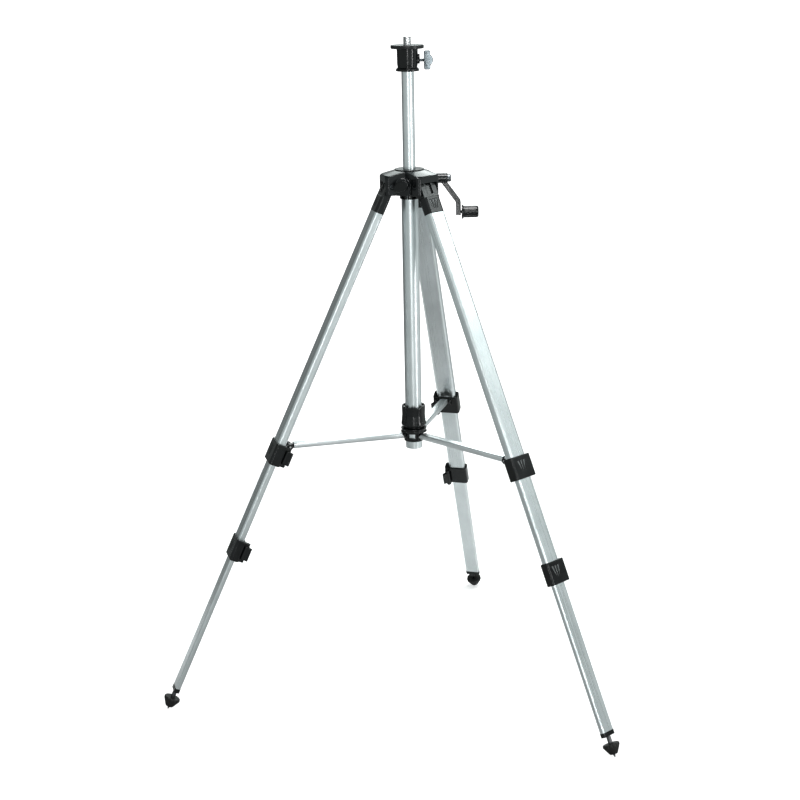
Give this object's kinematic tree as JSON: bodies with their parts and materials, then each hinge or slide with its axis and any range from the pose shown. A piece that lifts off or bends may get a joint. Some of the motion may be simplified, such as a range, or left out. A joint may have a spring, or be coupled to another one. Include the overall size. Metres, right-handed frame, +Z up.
{
  "type": "elevating tripod",
  "caption": "Crank-raised tripod for a laser level: telescoping flip-lock legs, sliding spreader hub and a clamped head with a 5/8 inch stud.",
  "frame": {"origin": "on the column's axis, in the plane of the three spike points", "axes": "+Z up along the column, +Y towards leg 1"},
  "size_m": [0.9612, 0.837, 1.368],
  "materials": {
    "black_plastic": "gloss moulded black",
    "leg_aluminium": "satin anodised",
    "column_aluminium": "satin anodised",
    "brace_aluminium": "satin",
    "bush_plastic": "natural acetal",
    "steel": "bright zinc",
    "chrome": "polished chrome",
    "crank_paint": "gloss black paint",
    "plate_paint": "satin black coating",
    "foot_rubber": "matt black"
  },
  "bodies": {
    "root": {"crown_body": "black_plastic", "crown_cover": "black_plastic", "crown_ring": "black_plastic", "outer_tube": "column_aluminium", "column_guides": "bush_plastic", "leg_hinge_pins": "steel"},
    "column": {"inner_column": "column_aluminium"},
    "head": {"head_body": "black_plastic", "mounting_plate": "plate_paint", "instrument_stud": "steel"},
    "wing_screw": {"wing_screw": "chrome"},
    "lock_knob": {"column_lock_knob": "black_plastic"},
    "crank": {"crank_shaft": "steel", "crank_arm": "crank_paint"},
    "crank_grip": {"crank_grip": "black_plastic"},
    "hub": {"spreader_hub": "black_plastic", "hub_pins": "steel"},
    "hub_knob": {"hub_knob": "black_plastic"},
    "leg1_upper": {"leg1_top_cap": "black_plastic", "leg1_upper_tube": "leg_aluminium", "leg1_upper_collar": "black_plastic", "brace1_pin": "steel"},
    "leg1_upper_lever": {"leg1_upper_lever": "black_plastic"},
    "leg1_middle": {"leg1_middle_tube": "leg_aluminium", "leg1_lower_collar": "black_plastic"},
    "leg1_lower_lever": {"leg1_lower_lever": "black_plastic"},
    "leg1_lower": {"leg1_lower_tube": "leg_aluminium", "leg1_foot_plug": "black_plastic", "leg1_foot_spike": "steel"},
    "leg1_foot": {"leg1_rubber_foot": "foot_rubber"},
    "brace1_inner": {"brace1_channel": "brace_aluminium"},
    "brace1_outer": {"brace1_end": "black_plastic"},
    "leg2_upper": {"leg2_top_cap": "black_plastic", "leg2_upper_tube": "leg_aluminium", "leg2_upper_collar": "black_plastic", "brace2_pin": "steel"},
    "leg2_upper_lever": {"leg2_upper_lever": "black_plastic"},
    "leg2_middle": {"leg2_middle_tube": "leg_aluminium", "leg2_lower_collar": "black_plastic"},
    "leg2_lower_lever": {"leg2_lower_lever": "black_plastic"},
    "leg2_lower": {"leg2_lower_tube": "leg_aluminium", "leg2_foot_plug": "black_plastic", "leg2_foot_spike": "steel"},
    "leg2_foot": {"leg2_rubber_foot": "foot_rubber"},
    "brace2_inner": {"brace2_channel": "brace_aluminium"},
    "brace2_outer": {"brace2_end": "black_plastic"},
    "leg3_upper": {"leg3_top_cap": "black_plastic", "leg3_upper_tube": "leg_aluminium", "leg3_upper_collar": "black_plastic", "brace3_pin": "steel"},
    "leg3_upper_lever": {"leg3_upper_lever": "black_plastic"},
    "leg3_middle": {"leg3_middle_tube": "leg_aluminium", "leg3_lower_collar": "black_plastic"},
    "leg3_lower_lever": {"leg3_lower_lever": "black_plastic"},
    "leg3_lower": {"leg3_lower_tube": "leg_aluminium", "leg3_foot_plug": "black_plastic", "leg3_foot_spike": "steel"},
    "leg3_foot": {"leg3_rubber_foot": "foot_rubber"},
    "brace3_inner": {"brace3_channel": "brace_aluminium"},
    "brace3_outer": {"brace3_end": "black_plastic"}
  },
  "joints": [
    {"name": "column_lift", "type": "slide", "parent": "root", "child": "column", "axis": [0, 0, 1], "range_m": [-0.19, 0.2]},
    {"name": "crank_turn", "type": "hinge", "parent": "root", "child": "crank", "pos_m": [-0.00494, 0.01845, 1.086], "axis": [0.9659, 0.2588, 0], "range_deg": [-1530, 1455]},
    {"name": "crank_grip_spin", "type": "hinge", "parent": "crank", "child": "crank_grip", "pos_m": [-0.00494, 0.01845, 1.017], "axis": [0.9659, 0.2588, 0], "continuous": true},
    {"name": "head_pan", "type": "hinge", "parent": "column", "child": "head", "pos_m": [0, 0, 1.31], "axis": [0, 0, 1], "continuous": true},
    {"name": "wing_screw_turn", "type": "hinge", "parent": "head", "child": "wing_screw", "pos_m": [0, 0, 1.322], "axis": [0.9659, 0.2588, 0], "range_deg": [0, 450]},
    {"name": "column_lock_turn", "type": "hinge", "parent": "root", "child": "lock_knob", "pos_m": [0, 0, 1.08], "axis": [-0.0349, -0.9994, 0], "range_deg": [0, 180]},
    {"name": "hub_slide", "type": "slide", "parent": "root", "child": "hub", "axis": [0, 0, 1], "range_m": [0, 0.195]},
    {"name": "hub_knob_turn", "type": "hinge", "parent": "hub", "child": "hub_knob", "pos_m": [0, 0, 0.6], "axis": [0, 0, 1], "range_deg": [0, 180]},
    {"name": "leg1_fold", "type": "hinge", "parent": "root", "child": "leg1_upper", "pos_m": [0, 0.0435, 1.07851], "axis": [-1, 0, 0], "range_deg": [0, 25]},
    {"name": "leg1_middle_slide", "type": "slide", "parent": "leg1_upper", "child": "leg1_middle", "axis": [0, 0.4226, -0.9063], "range_m": [-0.17, 0.18]},
    {"name": "leg1_lower_slide", "type": "slide", "parent": "leg1_middle", "child": "leg1_lower", "axis": [0, 0.4226, -0.9063], "range_m": [-0.3, 0.09]},
    {"name": "leg1_upper_lever_flip", "type": "hinge", "parent": "leg1_upper", "child": "leg1_upper_lever", "pos_m": [-0.022, 0.27774, 0.53453], "axis": [0, -0.4226, 0.9063], "range_deg": [0, 90]},
    {"name": "leg1_lower_lever_flip", "type": "hinge", "parent": "leg1_middle", "child": "leg1_lower_lever", "pos_m": [-0.021, 0.37168, 0.3378], "axis": [0, -0.4226, 0.9063], "range_deg": [0, 90]},
    {"name": "leg1_foot_turn", "type": "hinge", "parent": "leg1_lower", "child": "leg1_foot", "pos_m": [0, 0.53881, 0.01631], "axis": [0, 0.4226, -0.9063], "continuous": true},
    {"name": "brace1_hub_pivot", "type": "hinge", "parent": "hub", "child": "brace1_inner", "pos_m": [0, 0.026, 0.55285], "axis": [-1, 0, 0], "range_deg": [0, 90.79]},
    {"name": "brace1_leg_pivot", "type": "hinge", "parent": "leg1_upper", "child": "brace1_outer", "pos_m": [0, 0.26567, 0.55285], "axis": [-1, 0, 0], "range_deg": [0, 65.79]},
    {"name": "leg2_fold", "type": "hinge", "parent": "root", "child": "leg2_upper", "pos_m": [-0.03767, -0.02175, 1.07851], "axis": [0.5, -0.866, 0], "range_deg": [0, 25]},
    {"name": "leg2_middle_slide", "type": "slide", "parent": "leg2_upper", "child": "leg2_middle", "axis": [-0.366, -0.2113, -0.9063], "range_m": [-0.17, 0.18]},
    {"name": "leg2_lower_slide", "type": "slide", "parent": "leg2_middle", "child": "leg2_lower", "axis": [-0.366, -0.2113, -0.9063], "range_m": [-0.3, 0.09]},
    {"name": "leg2_upper_lever_flip", "type": "hinge", "parent": "leg2_upper", "child": "leg2_upper_lever", "pos_m": [-0.22953, -0.15792, 0.53453], "axis": [0.366, 0.2113, 0.9063], "range_deg": [0, 90]},
    {"name": "leg2_lower_lever_flip", "type": "hinge", "parent": "leg2_middle", "child": "leg2_lower_lever", "pos_m": [-0.31139, -0.20403, 0.3378], "axis": [0.366, 0.2113, 0.9063], "range_deg": [0, 90]},
    {"name": "leg2_foot_turn", "type": "hinge", "parent": "leg2_lower", "child": "leg2_foot", "pos_m": [-0.46662, -0.2694, 0.01631], "axis": [-0.366, -0.2113, -0.9063], "continuous": true},
    {"name": "brace2_hub_pivot", "type": "hinge", "parent": "hub", "child": "brace2_inner", "pos_m": [-0.02252, -0.013, 0.55285], "axis": [0.5, -0.866, 0], "range_deg": [0, 90.79]},
    {"name": "brace2_leg_pivot", "type": "hinge", "parent": "leg2_upper", "child": "brace2_outer", "pos_m": [-0.23008, -0.13283, 0.55285], "axis": [0.5, -0.866, 0], "range_deg": [0, 65.79]},
    {"name": "leg3_fold", "type": "hinge", "parent": "root", "child": "leg3_upper", "pos_m": [0.03767, -0.02175, 1.07851], "axis": [0.5, 0.866, 0], "range_deg": [0, 25]},
    {"name": "leg3_middle_slide", "type": "slide", "parent": "leg3_upper", "child": "leg3_middle", "axis": [0.366, -0.2113, -0.9063], "range_m": [-0.17, 0.18]},
    {"name": "leg3_lower_slide", "type": "slide", "parent": "leg3_middle", "child": "leg3_lower", "axis": [0.366, -0.2113, -0.9063], "range_m": [-0.3, 0.09]},
    {"name": "leg3_upper_lever_flip", "type": "hinge", "parent": "leg3_upper", "child": "leg3_upper_lever", "pos_m": [0.25153, -0.11982, 0.53453], "axis": [-0.366, 0.2113, 0.9063], "range_deg": [0, 90]},
    {"name": "leg3_lower_lever_flip", "type": "hinge", "parent": "leg3_middle", "child": "leg3_lower_lever", "pos_m": [0.33239, -0.16765, 0.3378], "axis": [-0.366, 0.2113, 0.9063], "range_deg": [0, 90]},
    {"name": "leg3_foot_turn", "type": "hinge", "parent": "leg3_lower", "child": "leg3_foot", "pos_m": [0.46662, -0.2694, 0.01631], "axis": [0.366, -0.2113, -0.9063], "continuous": true},
    {"name": "brace3_hub_pivot", "type": "hinge", "parent": "hub", "child": "brace3_inner", "pos_m": [0.02252, -0.013, 0.55285], "axis": [0.5, 0.866, 0], "range_deg": [0, 90.79]},
    {"name": "brace3_leg_pivot", "type": "hinge", "parent": "leg3_upper", "child": "brace3_outer", "pos_m": [0.23008, -0.13283, 0.55285], "axis": [0.5, 0.866, 0], "range_deg": [0, 65.79]}
  ],
  "couplings": [
    {"joint": "crank_turn", "follows": "column_lift", "rad_per_m": -133.33},
    {"joint": "hub_slide", "follows": "leg1_fold", "m_per_rad": 0.44691},
    {"joint": "brace1_hub_pivot", "follows": "leg1_fold", "ratio": 3.6316},
    {"joint": "brace1_leg_pivot", "follows": "leg1_fold", "ratio": 2.6316},
    {"joint": "leg2_fold", "follows": "leg1_fold", "ratio": 1},
    {"joint": "brace2_hub_pivot", "follows": "leg1_fold", "ratio": 3.6316},
    {"joint": "brace2_leg_pivot", "follows": "leg1_fold", "ratio": 2.6316},
    {"joint": "leg3_fold", "follows": "leg1_fold", "ratio": 1},
    {"joint": "brace3_hub_pivot", "follows": "leg1_fold", "ratio": 3.6316},
    {"joint": "brace3_leg_pivot", "follows": "leg1_fold", "ratio": 2.6316}
  ]
}
